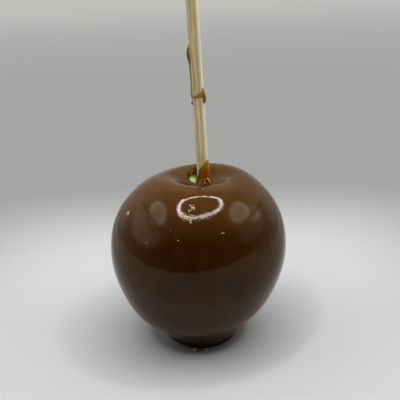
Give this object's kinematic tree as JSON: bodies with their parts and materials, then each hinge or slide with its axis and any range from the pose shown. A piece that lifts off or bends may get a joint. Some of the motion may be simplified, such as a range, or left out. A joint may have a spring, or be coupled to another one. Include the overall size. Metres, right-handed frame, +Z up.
{
  "type": "caramel apple",
  "caption": "Whole green apple in a smooth caramel coat with a flat foot, on a square wooden stick that stands up out of its dimple.",
  "frame": {"origin": "middle of the flat caramel foot, on the surface that the apple stands on", "axes": "+Z up along the apple's core, -Y the front, +X to the right seen from the front"},
  "size_m": [0.0819, 0.0818, 0.1677],
  "materials": {
    "caramel": "smooth glossy set caramel, brown",
    "thin_caramel": "thin glossy caramel, amber brown",
    "green_skin": "waxy green apple skin",
    "pale_wood": "pale straight-grained wood, unvarnished"
  },
  "bodies": {
    "root": {"apple": "green_skin", "caramel_coat": "caramel", "stick": "pale_wood", "stick_drip_long": "thin_caramel", "stick_drop_small": "thin_caramel", "stick_drip_side": "thin_caramel"}
  },
  "joints": []
}
